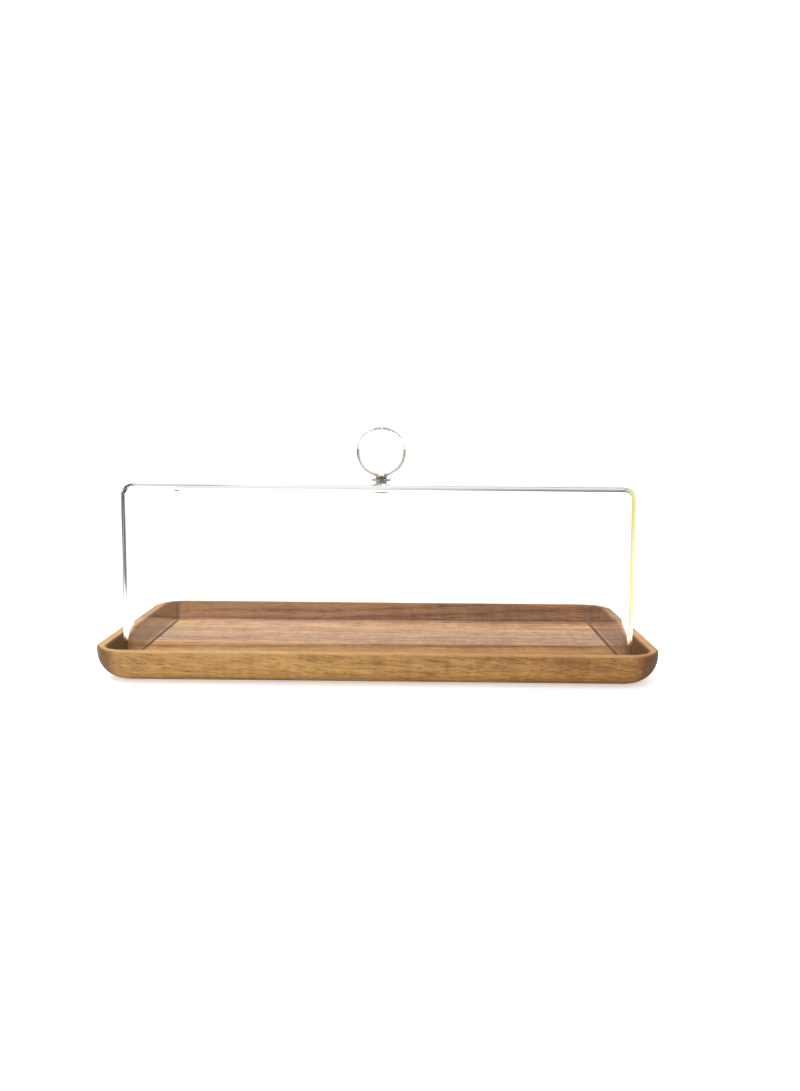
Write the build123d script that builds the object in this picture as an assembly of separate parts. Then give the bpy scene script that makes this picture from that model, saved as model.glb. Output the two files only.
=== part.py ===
from build123d import *
import os

# Rectangular serving tray of five edge-glued wooden staves, with a clear box dome that stands in
# its recess and lifts off by a ball knob. Millimetres. +X runs along the tray, +Z is up and -Y is
# the front. The origin is the centre of the tray's underside.

# Tray
TRAY_LENGTH = 400.0
TRAY_DEPTH = 200.0
TRAY_HEIGHT = 24.0
TRAY_CORNER_RADIUS = 27.0
TRAY_SIDE_TAPER = 1.5            # degrees, the sides lean in towards the underside
TRAY_UNDERCUT_RADIUS = 20.0      # the sides curve in to the underside
FLOOR_THICKNESS = 10.0
SIDE_RIM_WIDTH = 5.5             # along the front and back
END_RIM_WIDTH = 8.0
RIM_ROUNDING = 1.8
SIDE_WALL_RUN = 8.5              # how far a recess wall slopes inwards from the rim to the floor
END_WALL_RUN = 6.0
RECESS_CORNER_RADIUS = 15.0      # at the rim
RECESS_FLOOR_CORNER_RADIUS = 8.0
RECESS_COVE_RADIUS = 4.0
STAVE_WIDTHS = {                 # from front to back, they add up to the tray's depth
    "stave_front": 47.0,
    "stave_front_inner": 47.0,
    "stave_middle": 25.0,
    "stave_back_inner": 39.0,
    "stave_back": 42.0,
}

# Dome
DOME_LENGTH = 364.0
DOME_DEPTH = 164.0
DOME_HEIGHT = 128.0
DOME_WALL = 3.0
DOME_CORNER_RADIUS = 10.0
DOME_TOP_RADIUS = 8.0
DOME_DRAFT = 0.6                 # degrees, the dome widens towards its open foot
DOME_FOOT_ROUNDING = 0.6

# Knob and its fixing
KNOB_DIAMETER = 38.0
KNOB_FLAT_DEPTH = 0.5            # the ball is cut flat where it meets the collar
KNOB_BORE_DEPTH = 5.5
COLLAR_DIAMETER = 8.6
COLLAR_HEIGHT = 2.2
COLLAR_ROUNDING = 0.3
OUTER_WASHER_DIAMETER = 14.8
OUTER_WASHER_THICKNESS = 0.8
INNER_WASHER_DIAMETER = 12.0
INNER_WASHER_THICKNESS = 0.5
WASHER_ROUNDING = 0.2
SCREW_DIAMETER = 4.0
SCREW_LENGTH = 11.0
SCREW_HEAD_DIAMETER = 8.0
SCREW_HEAD_HEIGHT = 1.5
SCREW_HEAD_ROUNDING = 0.9
SCREW_TIP_CHAMFER = 0.5
DRIVE_SLOT_LENGTH = 4.4
DRIVE_SLOT_WIDTH = 0.9
DRIVE_SLOT_DEPTH = 0.8
THREAD_CLEARANCE = 0.05          # between the screw's plain shank and the knob's plain bore
HOLE_CLEARANCE = 0.25            # between the screw's shank and the pieces that it passes through

# Heights that follow from the sizes above
DOME_FOOT_Z = FLOOR_THICKNESS
DOME_TOP_Z = DOME_FOOT_Z + DOME_HEIGHT
CEILING_Z = DOME_TOP_Z - DOME_WALL
COLLAR_Z = DOME_TOP_Z + OUTER_WASHER_THICKNESS
KNOB_FLAT_Z = COLLAR_Z + COLLAR_HEIGHT
KNOB_CENTRE_Z = KNOB_FLAT_Z + KNOB_DIAMETER / 2 - KNOB_FLAT_DEPTH
INNER_WASHER_Z = CEILING_Z - INNER_WASHER_THICKNESS
PASSAGE_RADIUS = SCREW_DIAMETER / 2 + HOLE_CLEARANCE

UPWARDS = (Align.CENTER, Align.CENTER, Align.MIN)


def edges_at(solid, height):
    """The edges of a solid that lie flat at one height."""
    return solid.edges().filter_by_position(Axis.Z, height, height)


def tray_block():
    """The solid tray before its recess: tapered sides that curve in to a smaller underside."""
    outline = RectangleRounded(TRAY_LENGTH, TRAY_DEPTH, TRAY_CORNER_RADIUS)
    top_face_down = Plane(origin=(0, 0, TRAY_HEIGHT), z_dir=(0, 0, -1)) * outline
    block = extrude(top_face_down, amount=TRAY_HEIGHT, taper=TRAY_SIDE_TAPER)
    return fillet(edges_at(block, 0.0), TRAY_UNDERCUT_RADIUS)


def recess_pocket():
    """The space inside the rim: sloping walls, and a cove where they meet the floor."""
    mouth_length = TRAY_LENGTH - 2 * END_RIM_WIDTH
    mouth_depth = TRAY_DEPTH - 2 * SIDE_RIM_WIDTH
    floor_length = mouth_length - 2 * END_WALL_RUN
    floor_depth = mouth_depth - 2 * SIDE_WALL_RUN
    mouth = RectangleRounded(mouth_length, mouth_depth, RECESS_CORNER_RADIUS)
    floor = RectangleRounded(floor_length, floor_depth, RECESS_FLOOR_CORNER_RADIUS)
    sections = [Pos(0, 0, FLOOR_THICKNESS) * floor, Pos(0, 0, TRAY_HEIGHT) * mouth]
    pocket = loft(sections, ruled=True)
    return fillet(edges_at(pocket, FLOOR_THICKNESS), RECESS_COVE_RADIUS)


def hollow_tray():
    """The whole tray as one shape, with its rim rounded inside and out."""
    tray = tray_block() - recess_pocket()
    return fillet(edges_at(tray, TRAY_HEIGHT), RIM_ROUNDING)


def tray_staves():
    """The tray cut lengthwise into its edge-glued staves, from front to back."""
    tray = hollow_tray()
    from_front = (Align.CENTER, Align.MIN, Align.MIN)
    front = -TRAY_DEPTH / 2
    staves = {}
    for name, width in STAVE_WIDTHS.items():
        plank = Pos(0, front, 0) * Box(TRAY_LENGTH, width, TRAY_HEIGHT, align=from_front)
        staves[name] = tray & plank
        front += width
    return staves


def dome_block(inset):
    """The dome's outer form, or its inner one when inset by the wall thickness."""
    outline = RectangleRounded(
        DOME_LENGTH - 2 * inset,
        DOME_DEPTH - 2 * inset,
        DOME_CORNER_RADIUS - inset,
    )
    foot = Pos(0, 0, DOME_FOOT_Z) * outline
    block = extrude(foot, amount=DOME_HEIGHT - inset, taper=DOME_DRAFT)
    return fillet(edges_at(block, DOME_TOP_Z - inset), DOME_TOP_RADIUS - inset)


def dome_shell():
    """One-piece box dome, open below, drilled in the middle of its top for the knob's screw."""
    shell = dome_block(0.0) - dome_block(DOME_WALL)
    shell = fillet(edges_at(shell, DOME_FOOT_Z), DOME_FOOT_ROUNDING)
    return shell - Pos(0, 0, CEILING_Z) * Cylinder(PASSAGE_RADIUS, DOME_WALL, align=UPWARDS)


def ring(diameter, thickness, rounding, base_z):
    """A flat ring with softened outer edges, drilled for the screw to pass."""
    disc = Cylinder(diameter / 2, thickness, align=UPWARDS)
    disc = fillet(disc.edges().filter_by(GeomType.CIRCLE), rounding)
    return Pos(0, 0, base_z) * (disc - Cylinder(PASSAGE_RADIUS, thickness, align=UPWARDS))


def knob_ball():
    """Solid ball knob with a flat foot and a blind bore for the screw."""
    ball = Pos(0, 0, KNOB_CENTRE_Z) * Sphere(KNOB_DIAMETER / 2)
    below_flat = Pos(0, 0, KNOB_FLAT_Z - KNOB_DIAMETER) * Box(
        KNOB_DIAMETER, KNOB_DIAMETER, KNOB_DIAMETER, align=UPWARDS
    )
    bore_radius = SCREW_DIAMETER / 2 + THREAD_CLEARANCE
    bore = Pos(0, 0, KNOB_FLAT_Z) * Cylinder(bore_radius, KNOB_BORE_DEPTH, align=UPWARDS)
    return ball - below_flat - bore


def knob_screw():
    """Low-headed screw, driven upwards from inside the dome into the knob."""
    head = Cylinder(SCREW_HEAD_DIAMETER / 2, SCREW_HEAD_HEIGHT, align=UPWARDS)
    head = fillet(edges_at(head, 0.0), SCREW_HEAD_ROUNDING)
    for turn in (0, 90):
        slot = Box(DRIVE_SLOT_LENGTH, DRIVE_SLOT_WIDTH, DRIVE_SLOT_DEPTH, align=UPWARDS)
        head -= Rot(0, 0, turn) * slot
    shank = Cylinder(SCREW_DIAMETER / 2, SCREW_LENGTH, align=UPWARDS)
    shank = chamfer(edges_at(shank, SCREW_LENGTH), SCREW_TIP_CHAMFER)
    screw = head + Pos(0, 0, SCREW_HEAD_HEIGHT) * shank
    return Pos(0, 0, INNER_WASHER_Z - SCREW_HEAD_HEIGHT) * screw


def knob_parts():
    """The knob, what it stands on, and what holds it to the dome."""
    return {
        "knob_ball": knob_ball(),
        "knob_collar": ring(COLLAR_DIAMETER, COLLAR_HEIGHT, COLLAR_ROUNDING, COLLAR_Z),
        "outer_washer": ring(
            OUTER_WASHER_DIAMETER, OUTER_WASHER_THICKNESS, WASHER_ROUNDING, DOME_TOP_Z
        ),
        "inner_washer": ring(
            INNER_WASHER_DIAMETER, INNER_WASHER_THICKNESS, WASHER_ROUNDING, INNER_WASHER_Z
        ),
        "knob_screw": knob_screw(),
    }


def main():
    parts = {**tray_staves(), "dome_shell": dome_shell(), **knob_parts()}
    os.makedirs("parts", exist_ok=True)
    for name, shape in parts.items():
        shape.label = name
        export_step(shape, f"parts/{name}.step")


main()
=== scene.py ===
import math

import bmesh
import bpy
from mathutils import Matrix, Vector


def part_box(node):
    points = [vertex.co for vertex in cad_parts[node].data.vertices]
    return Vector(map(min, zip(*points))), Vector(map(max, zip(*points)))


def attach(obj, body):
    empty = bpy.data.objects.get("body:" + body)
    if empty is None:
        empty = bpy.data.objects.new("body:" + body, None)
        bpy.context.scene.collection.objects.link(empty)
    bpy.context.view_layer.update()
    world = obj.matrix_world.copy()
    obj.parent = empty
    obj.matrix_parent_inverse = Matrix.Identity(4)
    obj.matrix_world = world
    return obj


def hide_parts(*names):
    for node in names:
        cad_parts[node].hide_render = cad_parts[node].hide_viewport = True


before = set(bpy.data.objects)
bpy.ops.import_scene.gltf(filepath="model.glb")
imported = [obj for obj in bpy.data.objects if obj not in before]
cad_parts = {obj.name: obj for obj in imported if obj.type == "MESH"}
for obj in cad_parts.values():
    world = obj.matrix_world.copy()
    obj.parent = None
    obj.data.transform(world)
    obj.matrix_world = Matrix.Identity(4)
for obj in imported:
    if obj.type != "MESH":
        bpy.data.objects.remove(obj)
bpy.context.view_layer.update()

# Metres throughout, in the frame of the CAD model: +X along the tray, +Z up, -Y the front.
MM = 0.001

# Shape of the tray and dome that their boxes don't give
TRAY_CORNER_RADIUS = 27 * MM
TRAY_UNDERCUT_RADIUS = 20 * MM
TRAY_SIDE_TAPER = math.radians(1.5)
SIDE_RIM_WIDTH = 5.5 * MM
END_RIM_WIDTH = 8 * MM
RIM_ROUNDING = 1.8 * MM
SIDE_WALL_RUN = 8.5 * MM
END_WALL_RUN = 6 * MM
RECESS_CORNER_RADIUS = 15 * MM
RECESS_FLOOR_CORNER_RADIUS = 8 * MM
RECESS_COVE_RADIUS = 4 * MM
DOME_WALL = 3 * MM
DOME_CORNER_RADIUS = 10 * MM
DOME_TOP_RADIUS = 8 * MM
DOME_DRAFT = math.radians(0.6)
SCREW_HOLE_RADIUS = 2.25 * MM
KNOB_BORE_RADIUS = 2.05 * MM
KNOB_BORE_DEPTH = 5.5 * MM

# What the meshes add to that shape, or keep clear of
FOOT_SINK = 0.05 * MM            # the dome's foot is set into the wood, so no film of air shows
FLAT_LIFT = 0.02 * MM            # the ball's flat stays clear of the collar
LAST_TRAY_RADIUS = 1 * MM        # corner radius at which the tray's profile stops
LEAST_RECESS_RADIUS = 0.5 * MM   # corner radii that an inset never goes below
LEAST_DOME_RADIUS = 0.2 * MM
TOP_MARGIN = 1 * MM              # how far the dome's profile runs on across its top
CROWN_RADIUS = 0.038 * MM        # the small faces that close the ball's crown and its bore
BORE_END_RADIUS = 0.041 * MM

CORNER_STEPS = 20                # mesh steps round one corner of an outline
ARC_STEPS = 12                   # mesh steps round one rounded edge of a profile
ROUND_STEPS = 96                 # mesh steps round a turned piece
SHARP_ANGLE = math.radians(35)


# ---------------------------------------------------------------- shapes

def rounded_rectangle(half_length, half_depth, radius, z, side_z=None):
    """Points round a rectangle with rounded corners, anticlockwise from the +X side.

    The height is z at the +X and -X ends, and side_z, when given, along the two long sides.
    """
    if side_z is None:
        side_z = z
    points = []
    for quarter in range(4):
        side_x = 1 if quarter in (0, 3) else -1
        side_y = 1 if quarter in (0, 1) else -1
        centre_x = side_x * (half_length - radius)
        centre_y = side_y * (half_depth - radius)
        for step in range(CORNER_STEPS + 1):
            angle = (quarter + step / CORNER_STEPS) * math.pi / 2
            x = centre_x + radius * math.cos(angle)
            y = centre_y + radius * math.sin(angle)
            share = math.sin(angle) ** 2
            points.append(Vector((x, y, z + (side_z - z) * share)))
    return points


def circle(radius, z, count=ROUND_STEPS):
    """Points round a circle about the Z axis."""
    turns = [2 * math.pi * step / count for step in range(count)]
    return [Vector((radius * math.cos(a), radius * math.sin(a), z)) for a in turns]


def rounded_path(corners, radii):
    """A profile through the given corners, each one rounded by an arc of its own radius."""
    path = [Vector(corners[0])]
    for before, corner, after, radius in zip(corners, corners[1:], corners[2:], radii):
        corner = Vector(corner)
        incoming = (Vector(before) - corner).normalized()
        outgoing = (Vector(after) - corner).normalized()
        half_angle = incoming.angle(outgoing) / 2
        middle = (incoming + outgoing).normalized()
        centre = corner + middle * (radius / math.sin(half_angle))
        reach = radius / math.tan(half_angle)
        start = (corner + incoming * reach - centre).normalized()
        end = (corner + outgoing * reach - centre).normalized()
        for step in range(ARC_STEPS + 1):
            path.append(centre + radius * start.slerp(end, step / ARC_STEPS))
    path.append(Vector(corners[-1]))
    return path


def skin(mesh, rings, closed=False):
    """Faces between neighbouring rings of points, which all have the same number of points."""
    loops = [[mesh.verts.new(point) for point in ring] for ring in rings]
    pairs = list(zip(loops, loops[1:]))
    if closed:
        pairs.append((loops[-1], loops[0]))
    for lower, upper in pairs:
        for index in range(len(lower)):
            after = (index + 1) % len(lower)
            mesh.faces.new((lower[index], lower[after], upper[after], upper[index]))
    return loops


def piece_from(mesh, name):
    """A smooth-shaded object from a bmesh, with its sharp edges kept and flat faces even."""
    bmesh.ops.recalc_face_normals(mesh, faces=mesh.faces)
    data = bpy.data.meshes.new(name)
    mesh.to_mesh(data)
    mesh.free()
    data.shade_smooth()
    data.set_sharp_from_angle(angle=SHARP_ANGLE)
    piece = bpy.data.objects.new(name, data)
    bpy.context.scene.collection.objects.link(piece)
    evened = piece.modifiers.new("even_normals", "WEIGHTED_NORMAL")
    evened.keep_sharp = True
    return piece


# ---------------------------------------------------------------- nodes

class Nodes:
    """Short ways to add and join a material's nodes."""

    def __init__(self, name):
        self.material = bpy.data.materials.new(name)
        self.material.use_nodes = True
        self.tree = self.material.node_tree
        self.tree.nodes.clear()
        self.output = self.add("ShaderNodeOutputMaterial")
        coordinates = self.add("ShaderNodeTexCoord")
        self.place = coordinates.outputs["Object"]
        self.normal = coordinates.outputs["Normal"]

    def add(self, kind, **settings):
        node = self.tree.nodes.new(kind)
        for key, value in settings.items():
            setattr(node, key, value)
        return node

    def join(self, value, socket):
        """Links a socket to a socket, or sets a plain value on it."""
        if isinstance(value, bpy.types.NodeSocket):
            self.tree.links.new(value, socket)
        else:
            socket.default_value = value

    def shift(self, source, scale=(1, 1, 1), location=(0, 0, 0), rotation=(0, 0, 0)):
        """Coordinates moved, turned and scaled."""
        node = self.add("ShaderNodeMapping")
        self.join(source, node.inputs["Vector"])
        node.inputs["Location"].default_value = location
        node.inputs["Rotation"].default_value = rotation
        node.inputs["Scale"].default_value = scale
        return node.outputs["Vector"]

    def wander(self, source, scale, reach):
        """Coordinates pushed about slowly, by up to the reach along each axis."""
        push = self.add("ShaderNodeTexNoise")
        self.join(self.shift(source, scale=scale), push.inputs["Vector"])
        push.inputs["Scale"].default_value = 1.0
        node = self.add("ShaderNodeVectorMath", operation="MULTIPLY_ADD")
        self.join(push.outputs["Color"], node.inputs[0])
        node.inputs[1].default_value = reach
        self.join(source, node.inputs[2])
        return node.outputs["Vector"]

    def noise(self, source, scale, detail, roughness=0.5):
        """Noise by its changes per metre along each axis."""
        node = self.add("ShaderNodeTexNoise")
        self.join(self.shift(source, scale=scale), node.inputs["Vector"])
        node.inputs["Scale"].default_value = 1.0
        node.inputs["Detail"].default_value = detail
        node.inputs["Roughness"].default_value = roughness
        return node.outputs["Fac"]

    def even_noise(self, source, scale, detail, roughness=0.5):
        """Noise with the same number of changes per metre along all three axes."""
        return self.noise(source, (scale, scale, scale), detail, roughness)

    def grain(self, source, along, across, detail, roughness=0.5):
        """Noise by its changes per metre along the fibre, which follows X, and across it."""
        return self.noise(source, (along, across, across), detail, roughness)

    def noise_along(self, value, scale, detail):
        """Noise of one number, by its changes per metre."""
        node = self.add("ShaderNodeTexNoise", noise_dimensions="1D")
        self.join(value, node.inputs["W"])
        node.inputs["Scale"].default_value = scale
        node.inputs["Detail"].default_value = detail
        return node.outputs["Fac"]

    def math(self, operation, *values):
        node = self.add("ShaderNodeMath", operation=operation)
        for value, socket in zip(values, node.inputs):
            self.join(value, socket)
        return node.outputs["Value"]

    def axes(self, source):
        """The three parts of a vector."""
        node = self.add("ShaderNodeSeparateXYZ")
        self.join(source, node.inputs["Vector"])
        return tuple(node.outputs)

    def length(self, source):
        node = self.add("ShaderNodeVectorMath", operation="LENGTH")
        self.join(source, node.inputs[0])
        return node.outputs["Value"]

    def fade(self, value, low, high, to_low=0.0, to_high=1.0):
        """A smooth step from to_low to to_high, as value goes from low to high."""
        node = self.add("ShaderNodeMapRange", interpolation_type="SMOOTHSTEP")
        names = ("Value", "From Min", "From Max", "To Min", "To Max")
        for name, setting in zip(names, (value, low, high, to_low, to_high)):
            self.join(setting, node.inputs[name])
        return node.outputs["Result"]

    def fall(self, value, low, high):
        """A smooth step down from 1 to 0, as value goes from low to high."""
        return self.fade(value, low, high, 1.0, 0.0)

    def blend(self, share, first, second, mode="MIX"):
        """Two colours blended by share."""
        node = self.add("ShaderNodeMix", data_type="RGBA", blend_type=mode)
        sockets = [socket for socket in node.inputs if socket.enabled]
        for value, socket in zip((share, first, second), sockets):
            self.join(value, socket)
        return next(socket for socket in node.outputs if socket.enabled)

    def tint(self, share, base, tone):
        """A colour multiplied by a tone, by share."""
        return self.blend(share, base, tone, mode="MULTIPLY")

    def met(self, kind, times):
        """1 for a ray that has met a kind of surface so many times, by Blender's name for it."""
        path = self.add("ShaderNodeLightPath")
        return self.math("GREATER_THAN", path.outputs[kind + " Depth"], times - 0.5)

    def bump(self, height, distance, strength):
        node = self.add("ShaderNodeBump")
        self.join(height, node.inputs["Height"])
        node.inputs["Distance"].default_value = distance
        node.inputs["Strength"].default_value = strength
        return node.outputs["Normal"]

    def principled(self, **settings):
        """The finished shader, with each setting given by its socket's name in lower case."""
        node = self.add("ShaderNodeBsdfPrincipled")
        sockets = {s.name.lower().replace(" ", "_"): s for s in node.inputs}
        for name, value in settings.items():
            self.join(value, sockets[name])
        return node.outputs["BSDF"]

    def see_through(self, share, shader):
        """A shader mixed with one that lets light pass straight on, by share of the second."""
        clear = self.add("ShaderNodeBsdfTransparent")
        clear.inputs["Color"].default_value = PURE_WHITE
        mix = self.add("ShaderNodeMixShader")
        self.join(share, mix.inputs["Fac"])
        self.join(shader, mix.inputs[1])
        self.join(clear.outputs["BSDF"], mix.inputs[2])
        return mix.outputs["Shader"]

    def finish(self, shader):
        self.join(shader, self.output.inputs["Surface"])
        return self.material


def grey(level):
    return (level, level, level, 1.0)


PURE_WHITE = grey(1.0)


def colour(red, green, blue):
    """An RGBA socket value from an sRGB colour with parts from 0 to 255."""
    def linear(part):
        part /= 255
        return part / 12.92 if part <= 0.04045 else ((part + 0.055) / 1.055) ** 2.4
    return (linear(red), linear(green), linear(blue), 1.0)


# ---------------------------------------------------------------- wood

# Tints multiply the wood's colour, and the other colours are blended over it
WARM_TINT = (0.90, 0.80, 0.66, 1)
# Painted shade for the recess walls, which get less light than the floor
WALL_PAINTED_SHADE = (0.56, 0.43, 0.31, 1)
PORE = colour(84, 52, 28)
# Painted highlight: a paler colour for the top of the rim, where light falls from above
RIM_PAINTED_HIGHLIGHT = colour(246, 202, 146)
# End grain, darker; on the recess's end walls it also serves as painted shade
END_GRAIN_AND_SHADE = colour(86, 52, 21)
# Painted shade for the cove, where the recess floor meets its walls
COVE_PAINTED_SHADE = colour(62, 38, 22)
# Painted shade for the floor under and just beside the dome's foot
FOOT_PAINTED_SHADE = colour(70, 38, 16)

PORE_SHARE = 0.50
RIM_HIGHLIGHT_SHARE = 0.30
END_SHARE = 0.80
END_SHARE_ON_WALLS = 0.50
COVE_SHADE_SHARE = 0.50

RING_UNEVENNESS = 14 * MM        # how far a growth ring strays from round
WANDER_REACH = 12 * MM           # how far the fibre strays from straight
SEED_STEP = (1.0, 0.37, 0.61)    # metres by which one unit of seed moves the noise
MIDDLE_TONE = 0.46               # 0 is the light wood and 1 the dark, at the middle of the tray
SHADE_PER_METRE = 0.5             # darker towards the +X end, which gets less light: painted shade
WARM_PLACE = (-0.05, 0.2)        # the warmth comes in between these two places in X
PORE_PEAKS = (0.62, 0.72)        # only the noise's highest peaks are pores
FINE_RELIEF = 0.35
PORE_RELIEF = -0.7
SATIN_NOISE = (0.6, 1.4)         # of the fibre and the slow noise together
SATIN = (0.42, 0.58)             # the roughness that it gives

# Where the tray's surface changes. Each pair is the two ends of a fade
END_FACING = (0.05, 0.70)        # the part of the normal that lies along the fibre
WALL_FACING = (-0.05, -0.01)     # normal times place, below zero where a face looks inwards
COVE_FOOT = (0.02 * MM, 0.25 * MM)       # above the floor of the recess
COVE_HEAD = (0.6 * MM, 2.5 * MM)
COVE_REACH = 8 * MM              # outwards from the dome
# The painted shade on the floor at the dome's foot:
FOOT_SHADE_INSIDE = (-4.9 * MM, -3.9 * MM)     # outwards from the dome
FOOT_SHADE_OUTSIDE = (0.3 * MM, 1.0 * MM)
FOOT_SHADE_LEVEL = 0.3 * MM            # above or below the floor
FOOT_SHADE_ALONG_SIDES = 0.45
FOOT_SHADE_ALONG_ENDS = 0.85
# Where the rim's painted highlight comes in
RIM_HIGHLIGHT_HEIGHT = (-1.8 * MM, -0.4 * MM)      # below the top of the rim


def wood(name, light, dark, pith, lean, stripes, warmth, seed):
    """Oiled acacia: growth rings about a pith that lies off the plank, fibre, figure and pores.

    pith is the place of the rings' axis in Y and Z, lean turns that axis a little from X,
    stripes is how strongly the rings show, warmth is how much warmer the wood gets towards the
    +X end, and seed moves the noise, so that no two staves show the same figure.
    """
    n = Nodes(name)
    turned = n.shift(n.place, location=(0, -pith[0], -pith[1]), rotation=(0, lean[0], lean[1]))
    own = n.shift(turned, location=[seed * step for step in SEED_STEP])
    own = n.wander(own, scale=(9, 22, 22), reach=(0.0, WANDER_REACH, WANDER_REACH))

    # Growth rings: distance from the pith, made uneven along the plank
    uneven = n.grain(own, along=5, across=22, detail=3)
    from_pith = n.length(n.shift(turned, scale=(0, 1, 1)))
    radius = n.math("MULTIPLY_ADD", uneven, RING_UNEVENNESS, from_pith)
    rings = n.noise_along(radius, scale=260, detail=3)
    bands = n.noise_along(radius, scale=70, detail=2)

    # Fibre, from hair-fine to broad streaks, each longer than it is thick
    fine = n.grain(own, along=90, across=1500, detail=2, roughness=0.6)
    fibre = n.grain(own, along=60, across=820, detail=3, roughness=0.65)
    streak = n.grain(own, along=24, across=300, detail=4, roughness=0.6)

    # Figure: faint bands across the fibre where it weaves, and slow changes of tone
    figure = n.grain(own, along=210, across=36, detail=3)
    cloud = n.grain(own, along=13, across=30, detail=3)

    # Painted shade: every stave is a little darker towards the +X end, which gets less light, and
    # some are warmer there as well
    along = n.axes(n.place)[0]
    tone = n.math("MULTIPLY_ADD", along, SHADE_PER_METRE, MIDDLE_TONE)
    for layer, weight in (
        (rings, 0.75 * stripes),
        (bands, 0.70 * stripes),
        (streak, 0.60),
        (fibre, 1.25),
        (fine, 0.55),
        (figure, 0.45),
        (cloud, 0.65),
    ):
        tone = n.math("ADD", tone, n.math("MULTIPLY_ADD", layer, weight, -weight / 2))
    base = n.blend(n.fade(tone, 0.0, 1.0), light, dark)
    base = n.tint(n.fade(along, *WARM_PLACE, 0.0, warmth), base, WARM_TINT)

    # Open pores: short dark dashes along the grain
    pores = n.grain(own, along=170, across=1300, detail=1)
    pore = n.fade(pores, *PORE_PEAKS)
    base = n.blend(n.math("MULTIPLY", pore, PORE_SHARE), base, PORE)

    # The top of the rim gets a painted highlight. Cut ends are darker end grain, partly painted
    # shade, and the recess walls and the cove get painted shade
    ends, walls, cove, foot_shade, rim = places_on_tray(n)
    base = n.blend(n.math("MULTIPLY", rim, RIM_HIGHLIGHT_SHARE), base, RIM_PAINTED_HIGHLIGHT)
    # Darker end grain, and partly painted shade on the recess's end walls
    end_darkening = n.math("MULTIPLY_ADD", walls, END_SHARE_ON_WALLS - END_SHARE, END_SHARE)
    base = n.blend(n.math("MULTIPLY", ends, end_darkening), base, END_GRAIN_AND_SHADE)
    # Painted shade on the recess walls
    base = n.tint(walls, base, WALL_PAINTED_SHADE)
    # Painted shade in the cove
    base = n.blend(n.math("MULTIPLY", cove, COVE_SHADE_SHARE), base, COVE_PAINTED_SHADE)
    # Painted shade on the floor at the dome's foot
    base = n.blend(foot_shade, base, FOOT_PAINTED_SHADE)

    height = n.math("MULTIPLY_ADD", fine, FINE_RELIEF, n.math("MULTIPLY", pore, PORE_RELIEF))
    shader = n.principled(
        base_color=base,
        roughness=n.fade(n.math("ADD", fibre, cloud), *SATIN_NOISE, *SATIN),
        normal=n.bump(height, distance=0.10 * MM, strength=0.6),
        ior=1.5,
        specular_ior_level=0.35,
    )
    return n.finish(shader)


def places_on_tray(n):
    """Shares from 0 to 1: cut ends (end grain, partly painted shade), recess walls, the cove and the
    floor at the dome's foot (painted shade), and the top of the rim (painted highlight).
    """
    x, y, z = n.axes(n.place)
    normal_x, normal_y, _ = n.axes(n.normal)
    outwards = n.math("MULTIPLY_ADD", normal_x, x, n.math("MULTIPLY", normal_y, y))
    # Recess walls, which get painted shade
    walls = n.fall(outwards, *WALL_FACING)
    ends = n.fade(n.math("ABSOLUTE", normal_x), *END_FACING)

    # How far a place lies outwards from the dome's outer face, past its ends or past its sides
    low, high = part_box("dome_shell")
    past_ends = n.math("SUBTRACT", n.math("ABSOLUTE", x), high.x)
    past_sides = n.math("SUBTRACT", n.math("ABSOLUTE", y), high.y)
    past_dome = n.math("MAXIMUM", past_ends, past_sides)
    above_floor = n.math("SUBTRACT", z, low.z)

    # The cove's band, which gets painted shade
    in_reach = n.math("LESS_THAN", past_dome, COVE_REACH)
    cove = n.math("MULTIPLY", in_reach, n.fade(above_floor, *COVE_FOOT))
    cove = n.math("MULTIPLY", cove, n.fall(above_floor, *COVE_HEAD))

    # The floor at the dome's foot, which gets painted shade
    at_ends = n.math("GREATER_THAN", past_ends, past_sides)
    more_at_ends = FOOT_SHADE_ALONG_ENDS - FOOT_SHADE_ALONG_SIDES
    foot_shade = n.math("MULTIPLY_ADD", at_ends, more_at_ends, FOOT_SHADE_ALONG_SIDES)
    for share in (
        n.math("COMPARE", above_floor, 0.0, FOOT_SHADE_LEVEL),
        n.fade(past_dome, *FOOT_SHADE_INSIDE),
        n.fall(past_dome, *FOOT_SHADE_OUTSIDE),
    ):
        foot_shade = n.math("MULTIPLY", foot_shade, share)

    # The top of the rim, which gets a painted highlight
    from_top = n.math("SUBTRACT", z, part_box("stave_front")[1].z)
    rim = n.fade(from_top, *RIM_HIGHLIGHT_HEIGHT)
    return ends, walls, cove, foot_shade, rim


# How each stave is cut and coloured: the parameters of its wood
STAVES = {
    "stave_front": dict(
        light=colour(196, 152, 88),
        dark=colour(126, 84, 42),
        pith=(-0.15, 0.075),
        lean=(-0.090, 0.045),
        stripes=0.35,
        warmth=1.0,
        seed=1.7,
    ),
    "stave_front_inner": dict(
        light=colour(200, 148, 86),
        dark=colour(118, 74, 36),
        pith=(-0.20, -0.02),
        lean=(0.020, -0.030),
        stripes=0.9,
        warmth=0.5,
        seed=4.1,
    ),
    "stave_middle": dict(
        light=colour(210, 172, 138),
        dark=colour(134, 94, 66),
        pith=(0.16, 0.05),
        lean=(-0.015, 0.020),
        stripes=1.2,
        warmth=0.2,
        seed=7.9,
    ),
    "stave_back_inner": dict(
        light=colour(216, 178, 142),
        dark=colour(140, 100, 72),
        pith=(-0.12, 0.04),
        lean=(0.010, 0.025),
        stripes=1.2,
        warmth=0.0,
        seed=11.3,
    ),
    "stave_back": dict(
        light=colour(240, 192, 146),
        dark=colour(136, 84, 56),
        pith=(0.10, 0.065),
        lean=(0.018, -0.020),
        stripes=1.2,
        warmth=0.2,
        seed=15.2,
    ),
}


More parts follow.
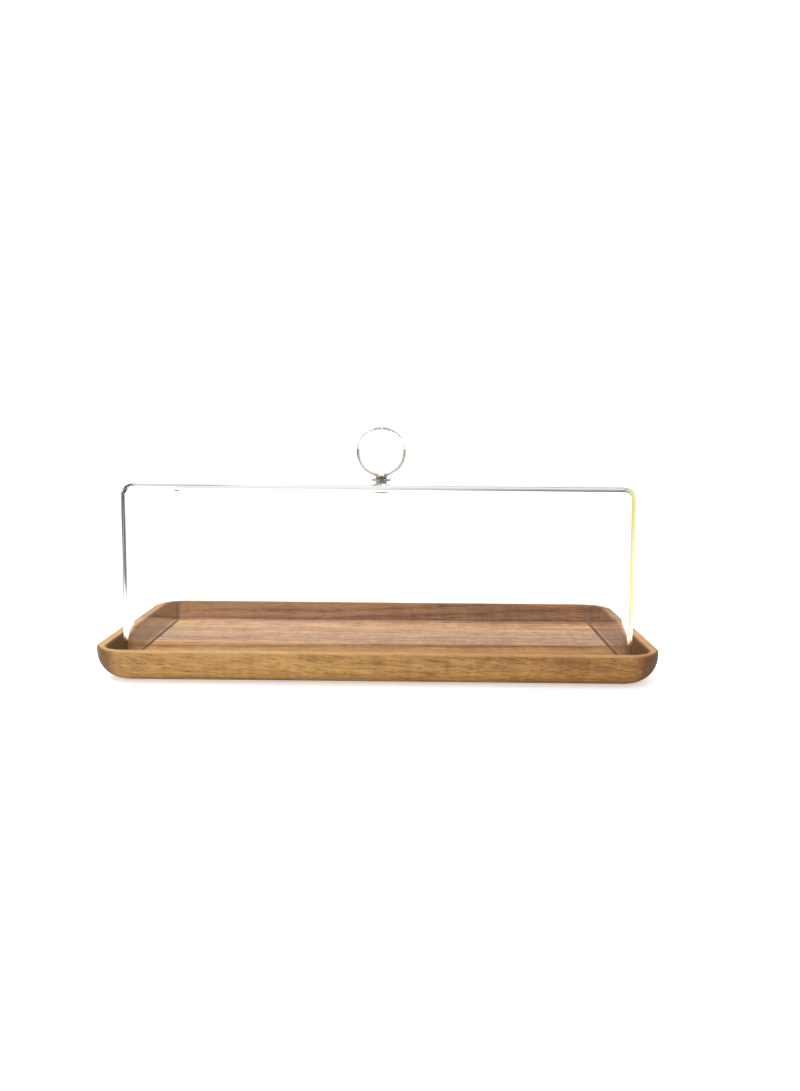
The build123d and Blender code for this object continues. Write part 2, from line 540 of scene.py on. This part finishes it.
def tray_profile(height, floor, rim_width, wall_run):
    """The tray's section, from its underside, round the rim, to its floor: inset and height."""
    side_run = height * math.tan(TRAY_SIDE_TAPER)
    underside = TRAY_CORNER_RADIUS - LAST_TRAY_RADIUS
    floor_edge = rim_width + wall_run + RECESS_FLOOR_CORNER_RADIUS - LAST_TRAY_RADIUS
    corners = (
        (underside, 0.0),
        (side_run, 0.0),
        (0.0, height),
        (rim_width, height),
        (rim_width + wall_run, floor),
        (floor_edge, floor),
    )
    radii = (TRAY_UNDERCUT_RADIUS, RIM_ROUNDING, RIM_ROUNDING, RECESS_COVE_RADIUS)
    return rounded_path(corners, radii)


def tray_corner_radius(inset, in_recess):
    """The corner radius of the tray's outline, or of the recess's, at an inset on a long side."""
    if not in_recess:
        return TRAY_CORNER_RADIUS - inset
    share = (inset - SIDE_RIM_WIDTH) / SIDE_WALL_RUN
    shrink = RECESS_CORNER_RADIUS - RECESS_FLOOR_CORNER_RADIUS
    return max(RECESS_CORNER_RADIUS - share * shrink, LEAST_RECESS_RADIUS)


def whole_tray(half_length, half_depth, height, floor):
    """The tray as one closed mesh, before it is cut into its staves."""
    mesh = bmesh.new()
    at_ends = tray_profile(height, floor, END_RIM_WIDTH, END_WALL_RUN)
    at_sides = tray_profile(height, floor, SIDE_RIM_WIDTH, SIDE_WALL_RUN)
    outside_count = 1 + 2 * (ARC_STEPS + 1)      # the profile's start and its first two arcs
    rings = []
    for index, (end, side) in enumerate(zip(at_ends, at_sides)):
        radius = tray_corner_radius(side.x, in_recess=index >= outside_count)
        rings.append(
            rounded_rectangle(half_length - end.x, half_depth - side.x, radius, end.y, side.y)
        )
    loops = skin(mesh, rings)
    mesh.faces.new(reversed(loops[0]))
    mesh.faces.new(loops[-1])
    return mesh


def cut_away(mesh, y, keep):
    """Cuts the mesh at a plane of constant y, keeps the side that keep points to and caps it."""
    everything = mesh.verts[:] + mesh.edges[:] + mesh.faces[:]
    bmesh.ops.bisect_plane(
        mesh, geom=everything, plane_co=(0, y, 0), plane_no=(0, -keep, 0), clear_outer=True
    )
    rim = [edge for edge in mesh.edges if edge.is_boundary]
    if rim:
        bmesh.ops.holes_fill(mesh, edges=rim)


def build_staves():
    """Each stave is the whole tray, cut at the stave's own front and back joint."""
    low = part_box("stave_front")[0]
    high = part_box("stave_back")[1]
    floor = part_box("dome_shell")[0].z
    half_length = (high.x - low.x) / 2
    half_depth = (high.y - low.y) / 2
    for name, look in STAVES.items():
        front, back = (corner.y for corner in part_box(name))
        mesh = whole_tray(half_length, half_depth, high.z, floor)
        if name != "stave_front":
            cut_away(mesh, front, keep=1)
        if name != "stave_back":
            cut_away(mesh, back, keep=-1)
        piece = piece_from(mesh, name + "_wood")
        piece.data.materials.append(wood(name + "_acacia", **look))
        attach(piece, "tray")
        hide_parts(name)


# ---------------------------------------------------------------- clear plastic

HANDLED_PEAKS = (0.45, 0.8)      # only the higher parts of the noise are handling marks
HANDLED_ROUGHNESS = 0.012
TRAPPED_AFTER = 3                # a ray mirrored as often as this leaves the sheet


def acrylic(name):
    """Polished clear acrylic with faint handling marks.

    Light that has been sent to and fro inside the sheet many times leaves it, as it does at a
    real sheet's edges, and light from lamps passes straight through.
    """
    n = Nodes(name)
    marks = n.even_noise(n.place, scale=60, detail=4, roughness=0.6)
    shader = n.principled(
        base_color=PURE_WHITE,
        roughness=n.fade(marks, *HANDLED_PEAKS, 0.0, HANDLED_ROUGHNESS),
        ior=1.49,
        transmission_weight=1.0,
    )
    from_lamp = n.add("ShaderNodeLightPath").outputs["Is Shadow Ray"]
    through = n.math("MAXIMUM", from_lamp, n.met("Glossy", TRAPPED_AFTER))
    return n.finish(n.see_through(through, shader))


def dome_path(inset, foot, top, top_radius):
    """Insets and heights up one face of the dome's wall and a little way across its top."""
    run = (top - foot) * math.tan(DOME_DRAFT)
    corners = (
        (inset, foot),
        (inset + run, top),
        (inset + run + top_radius + TOP_MARGIN, top),
    )
    return rounded_path(corners, (top_radius,))


def build_dome(material):
    """The box dome, open below, with the hole for the knob's screw through its top."""
    low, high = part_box("dome_shell")
    foot = low.z - FOOT_SINK
    outer = dome_path(0.0, foot, high.z, DOME_TOP_RADIUS)
    inner = dome_path(DOME_WALL, foot, high.z - DOME_WALL, DOME_TOP_RADIUS - DOME_WALL)
    count = 4 * (CORNER_STEPS + 1)

    def ring(point):
        inset, z = point
        radius = max(DOME_CORNER_RADIUS - inset, LEAST_DOME_RADIUS)
        return rounded_rectangle(high.x - inset, high.y - inset, radius, z)

    mesh = bmesh.new()
    rings = [ring(point) for point in outer]
    rings.append(circle(SCREW_HOLE_RADIUS, high.z, count))
    rings.append(circle(SCREW_HOLE_RADIUS, high.z - DOME_WALL, count))
    rings.extend(ring(point) for point in reversed(inner))
    skin(mesh, rings, closed=True)
    piece = piece_from(mesh, "dome_clear")
    piece.data.materials.append(material)
    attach(piece, "lid")
    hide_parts("dome_shell")


def build_ball(material):
    """The ball knob: a full sphere, flat below, with the blind bore for its screw."""
    low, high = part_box("knob_ball")
    radius = (high.x - low.x) / 2
    centre = high.z - radius
    flat = low.z + FLAT_LIFT
    bore_top = low.z + KNOB_BORE_DEPTH
    flat_radius = math.sqrt(radius ** 2 - (centre - flat) ** 2)
    start = math.asin(flat_radius / radius)
    mesh = bmesh.new()
    rings = [
        circle(BORE_END_RADIUS, bore_top),
        circle(KNOB_BORE_RADIUS, bore_top),
        circle(KNOB_BORE_RADIUS, flat),
    ]
    steps = ROUND_STEPS // 2
    for step in range(steps):
        angle = start + (math.pi - start) * step / steps
        rings.append(circle(radius * math.sin(angle), centre - radius * math.cos(angle)))
    rings.append(circle(CROWN_RADIUS, high.z))
    loops = skin(mesh, rings)
    mesh.faces.new(loops[0])
    mesh.faces.new(loops[-1])
    piece = piece_from(mesh, "knob_ball_clear")
    piece.data.materials.append(material)
    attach(piece, "lid")
    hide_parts("knob_ball")


# ---------------------------------------------------------------- fittings

BRONZE = (0.50, 0.41, 0.29, 1)
WORN_BRONZE = (0.42, 0.33, 0.22, 1)
STEEL = (0.84, 0.83, 0.80, 1)
WORN_STEEL = (0.72, 0.71, 0.68, 1)
CLEAR_PLASTIC = (0.97, 0.97, 0.96, 1)
CLOUDY_PLASTIC = (0.90, 0.91, 0.90, 1)
WORN_PATCHES = (0.4, 0.7)        # values of the noise between which a patch comes in
DULL_PATCHES = (0.3, 0.7)
DULLNESS = 0.15                  # what a dull patch adds to the roughness
WASHER_ROUGHNESS = (0.12, 0.22)


def metal(name, tone, worn, rough):
    """Turned metal with fine rings from the tool, and duller patches."""
    n = Nodes(name)
    rings = n.noise(n.place, scale=(60, 60, 9000), detail=2)
    patches = n.even_noise(n.place, scale=300, detail=2)
    shader = n.principled(
        base_color=n.blend(n.fade(patches, *WORN_PATCHES), tone, worn),
        metallic=1.0,
        roughness=n.fade(patches, *DULL_PATCHES, rough, rough + DULLNESS),
        normal=n.bump(rings, distance=0.01 * MM, strength=0.15),
    )
    return n.finish(shader)


def clear_washer(name):
    """Soft translucent plastic, a little cloudy."""
    n = Nodes(name)
    cloud = n.even_noise(n.place, scale=300, detail=3)
    shader = n.principled(
        base_color=n.blend(cloud, CLEAR_PLASTIC, CLOUDY_PLASTIC),
        roughness=n.fade(cloud, *DULL_PATCHES, *WASHER_ROUGHNESS),
        ior=1.45,
        transmission_weight=0.8,
    )
    return n.finish(shader)


def dress_fittings():
    """Materials for the small CAD pieces, whose shapes are shown as they are."""
    bronze = metal("bronze", BRONZE, WORN_BRONZE, rough=0.6)
    steel = metal("screw_steel", STEEL, WORN_STEEL, rough=0.4)
    washer = clear_washer("washer_plastic")
    for node, material in (
        ("knob_collar", bronze),
        ("knob_screw", steel),
        ("outer_washer", washer),
        ("inner_washer", washer),
    ):
        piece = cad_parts[node]
        piece.data.materials.clear()
        piece.data.materials.append(material)


# ---------------------------------------------------------------- studio

WHITE = grey(1.02)
MIRRORED_WHITE = grey(1.12)              # the lower part of the backdrop, in a mirror image
DIM = (0.105, 0.092, 0.082, 1)           # the room in front
CEILING = (0.03, 0.025, 0.025, 1)
BROWN_ROOM = (0.045, 0.028, 0.012, 1)    # what stands away to the left
YELLOW_ROOM = (0.84, 0.78, 0.28, 1)      # what stands away to the right
FACES_OF_TWO_WALLS = 4


def light_kinds(n):
    """What a ray is for, each 1 or 0: lighting, a mirror image, in clear plastic, past two walls."""
    lighting = n.met("Diffuse", 1)
    mirrored = n.met("Glossy", 1)
    in_clear = n.met("Transmission", 1)
    past_walls = n.met("Transmission", FACES_OF_TWO_WALLS)
    return lighting, mirrored, in_clear, past_walls


FLOOR_DROP = 0.2 * MM                    # below the tray's underside
FLOOR_FIRST_RING = 50 * MM
FLOOR_GROWTH = 1.35                      # of one ring's radius to the next
FLOOR_RINGS = 18
FLOOR_FADE = (0.6, 2.0)                  # distances between which the floor fades out
FLOOR_LIGHTING = grey(1.25)              # how it lights the object
FLOOR_MIRRORED = grey(1.15)
FLOOR_SEEN = grey(1.0)
FLOOR_THROUGH_CLEAR = grey(1.15)
FLOOR_PAST_WALLS = grey(1.6)
FLOOR_SHADE_BENEATH = grey(0.35)               # painted shade on the floor under the tray, as the clear foot shows it
BENEATH_EDGE = (0.14, 0.18)
GLOW = 0.50                              # keeps the floor white where the tray shades it
GLOW_UNSEEN = 0.15                       # for rays that light the object or are mirrored
ROOMS_SPREAD = (0.15, 0.30)              # half the white strip that lies between the rooms
ROOMS_SLOPE = 0.45                       # that strip widens towards the back
ROOMS_DISTANCE = (0.40, 0.62)
RIGHT_ROOM_NEARER = 0.2
FRONT_FLOOR = (-0.2, 0.1)                # in Y, where the dim floor in front ends


def mirrored_floor(n, x, y, distance):
    """What is mirrored of the floor: dim in front, white behind, a room's colour to each side."""
    on_right = n.math("GREATER_THAN", x, 0.0)
    spread = n.math("MULTIPLY_ADD", y, -ROOMS_SLOPE, n.math("ABSOLUTE", x))
    away = n.math("MULTIPLY_ADD", on_right, RIGHT_ROOM_NEARER, distance)
    aside = n.math("MULTIPLY", n.fade(spread, *ROOMS_SPREAD), n.fade(away, *ROOMS_DISTANCE))
    room = n.blend(on_right, BROWN_ROOM, YELLOW_ROOM)
    mirror = n.blend(aside, FLOOR_MIRRORED, room)
    return n.blend(n.fade(y, *FRONT_FLOOR), DIM, mirror)


def pale_floor():
    """A round white floor that fades out into the white surroundings.

    The room in front of it is dim, so what the clear cover mirrors from that side is dim as well.
    """
    mesh = bmesh.new()
    radii = [FLOOR_FIRST_RING * FLOOR_GROWTH ** step for step in range(FLOOR_RINGS)]
    loops = skin(mesh, [circle(radius, -FLOOR_DROP) for radius in radii])
    mesh.faces.new(loops[0])
    floor = piece_from(mesh, "studio_floor")

    n = Nodes("pale_floor")
    lighting, mirrored, in_clear, past_walls = light_kinds(n)
    x, y, _ = n.axes(n.place)
    distance = n.length(n.place)
    plain = n.blend(in_clear, FLOOR_SEEN, FLOOR_THROUGH_CLEAR)
    plain = n.blend(past_walls, plain, FLOOR_PAST_WALLS)
    # Painted shade on the floor under the tray, for rays that came through the clear plastic
    beneath = n.math("MULTIPLY", in_clear, n.fall(distance, *BENEATH_EDGE))
    plain = n.blend(beneath, plain, FLOOR_SHADE_BENEATH)
    plain = n.blend(lighting, plain, FLOOR_LIGHTING)
    diffuse = n.add("ShaderNodeBsdfDiffuse")
    shown = n.blend(mirrored, plain, mirrored_floor(n, x, y, distance))
    n.join(shown, diffuse.inputs["Color"])

    glow = n.add("ShaderNodeEmission")
    unseen = n.math("MAXIMUM", lighting, mirrored)
    strength = n.math("MULTIPLY_ADD", unseen, GLOW_UNSEEN - GLOW, GLOW)
    n.join(strength, glow.inputs["Strength"])
    glowing = n.add("ShaderNodeAddShader")
    n.join(diffuse.outputs["BSDF"], glowing.inputs[0])
    n.join(glow.outputs["Emission"], glowing.inputs[1])
    shader = n.see_through(n.fade(distance, *FLOOR_FADE), glowing.outputs["Shader"])
    floor.data.materials.append(n.finish(shader))


KEY_PLACE = (-0.7, 0.0, 1.2)
KEY_TARGET = (0, 0, 0.06)
KEY_SIZE = 0.6
KEY_POWER = 9


def key_light():
    """A square softbox above and to the left."""
    light = bpy.data.lights.new("key", "AREA")
    light.shape = "SQUARE"
    light.size = KEY_SIZE
    light.energy = KEY_POWER
    lamp = bpy.data.objects.new("key", light)
    lamp.location = KEY_PLACE
    downwards = Vector(KEY_TARGET) - Vector(KEY_PLACE)
    lamp.rotation_euler = downwards.to_track_quat("-Z", "Y").to_euler()
    bpy.context.scene.collection.objects.link(lamp)


class WorldNodes(Nodes):
    """The same short ways for the world's nodes, where place is a direction."""

    def __init__(self, name):
        self.world = bpy.data.worlds.new(name)
        self.world.use_nodes = True
        self.tree = self.world.node_tree
        self.tree.nodes.clear()
        self.output = self.add("ShaderNodeOutputWorld")
        self.place = self.add("ShaderNodeTexCoord").outputs["Generated"]


# Strength of the light by where it comes from
LIGHT_ALL_ROUND = 0.28
LIGHT_ON_LEFT = 0.10
LIGHT_ABOVE = 0.75
LIGHT_BEHIND = 0.30
LIGHT_IN_FRONT = 0.20

# Where the mirrored room changes. Each pair is the two ends of a fade, in a direction's part to
# the side, backwards or upwards, unless it says left and right
WHITE_TOP = (0.10, 0.16)                 # upwards, where the backdrop's whitest part ends
GAP_FOOT = (0.14, 0.22)                  # upwards, where the dim gap over the backdrop begins
GAP_HEAD = (0.62, 0.42)                  # left and right, the height at which it ends
GAP_SOFTNESS = 0.1
GAP_SHARE = (0.35, 0.85)                 # left and right, how dim it is
GAP_TURN = (-0.18, -0.10)                # sideways, between the gap's left and right
CEILING_FOOT = (0.55, 0.62)
CEILING_SIDE = (-0.14, 0.20)
CEILING_SHARE = 0.95
LEFT_ROOM_EDGE = (-0.33, -0.26)
LEFT_ROOM_END = (-0.96, -0.84)
RIGHT_ROOM_EDGE = (0.25, 0.45)
ROOMS_HEIGHT = (0.3, 0.5)                # above and below this the rooms are faint
ROOMS_FAINT = 0.3
FRONT_EDGE = (-0.1, 0.2)                 # backwards, where the dim room in front ends

# What is seen through clear plastic: grey to the sides and white behind
CLEAR_EDGE = (0.48, 0.70)
CLEAR_TO_SIDES = 0.32
CLEAR_BEHIND = 1.15
PAST_WALLS = grey(1.7)


def light_from(n, side, depth, height):
    """What lights the object: strongest from above, then from behind and from the front."""
    level = n.math("MULTIPLY_ADD", side, -LIGHT_ON_LEFT, LIGHT_ALL_ROUND)
    for part, strength in (
        (n.math("MAXIMUM", height, 0.0), LIGHT_ABOVE),
        (n.math("MAXIMUM", depth, 0.0), LIGHT_BEHIND),
        (n.math("MINIMUM", depth, 0.0), -LIGHT_IN_FRONT),
    ):
        level = n.math("MULTIPLY_ADD", part, strength, level)
    return level


def mirrored_room(n, side, depth, height):
    """What is mirrored: a white backdrop, a dim gap and a dark ceiling over it, and the rooms."""
    above_gap = n.math("SUBTRACT", height, n.fade(side, *GAP_TURN, *GAP_HEAD))
    gap = n.math("MULTIPLY", n.fade(height, *GAP_FOOT), n.fall(above_gap, 0.0, GAP_SOFTNESS))
    gap = n.math("MULTIPLY", gap, n.fade(side, *GAP_TURN, *GAP_SHARE))
    ceiling = n.fade(side, *CEILING_SIDE, 0.0, CEILING_SHARE)
    ceiling = n.math("MULTIPLY", n.fade(height, *CEILING_FOOT), ceiling)
    view = n.blend(n.fade(height, *WHITE_TOP), MIRRORED_WHITE, WHITE)
    view = n.blend(gap, view, DIM)
    view = n.blend(ceiling, view, CEILING)

    on_left = n.math("MULTIPLY", n.fall(side, *LEFT_ROOM_EDGE), n.fade(side, *LEFT_ROOM_END))
    on_right = n.fade(side, *RIGHT_ROOM_EDGE)
    level = n.fade(n.math("ABSOLUTE", height), *ROOMS_HEIGHT, 1.0, ROOMS_FAINT)
    view = n.blend(n.math("MULTIPLY", on_left, level), view, BROWN_ROOM)
    view = n.blend(n.math("MULTIPLY", on_right, level), view, YELLOW_ROOM)
    return n.blend(n.fade(depth, *FRONT_EDGE), DIM, view)


def light_studio():
    """White surroundings, what the clear pieces mirror of a room, and soft light from above."""
    n = WorldNodes("studio_world")
    side, depth, height = n.axes(n.place)
    lighting, mirrored, in_clear, past_walls = light_kinds(n)
    through_clear = n.fade(depth, *CLEAR_EDGE, CLEAR_TO_SIDES, CLEAR_BEHIND)
    shown = n.blend(in_clear, WHITE, through_clear)
    shown = n.blend(past_walls, shown, PAST_WALLS)
    shown = n.blend(mirrored, shown, mirrored_room(n, side, depth, height))
    shown = n.blend(lighting, shown, light_from(n, side, depth, height))
    background = n.add("ShaderNodeBackground")
    n.join(shown, background.inputs["Color"])
    n.join(background.outputs["Background"], n.output.inputs["Surface"])
    bpy.context.scene.world = n.world
    key_light()
    bpy.context.scene.view_settings.view_transform = "Standard"


SENSOR_WIDTH = 36                        # millimetres, as is the lens
LENS = 31.8
CAMERA_PLACE = (0.0224, -0.7478, 0.1802)
CAMERA_PITCH = math.radians(7.12)        # downwards
CAMERA_YAW = math.radians(0.57)          # to the left
CAMERA_ROLL = math.radians(0.46)
NEAREST_SEEN = 10 * MM


def place_camera():
    """A phone's view from just above the dome, a little to the right and turned slightly."""
    camera_data = bpy.data.cameras.new("camera")
    camera_data.sensor_width = SENSOR_WIDTH
    camera_data.lens = LENS
    camera_data.clip_start = NEAREST_SEEN
    camera = bpy.data.objects.new("camera", camera_data)
    turn = (
        Matrix.Rotation(CAMERA_YAW, 4, "Z")
        @ Matrix.Rotation(math.pi / 2 - CAMERA_PITCH, 4, "X")
        @ Matrix.Rotation(CAMERA_ROLL, 4, "Z")
    )
    camera.matrix_world = Matrix.Translation(CAMERA_PLACE) @ turn
    bpy.context.scene.collection.objects.link(camera)
    bpy.context.scene.camera = camera


build_staves()
clear = acrylic("clear_acrylic")
build_dome(clear)
build_ball(clear)
dress_fittings()
pale_floor()
light_studio()
place_camera()
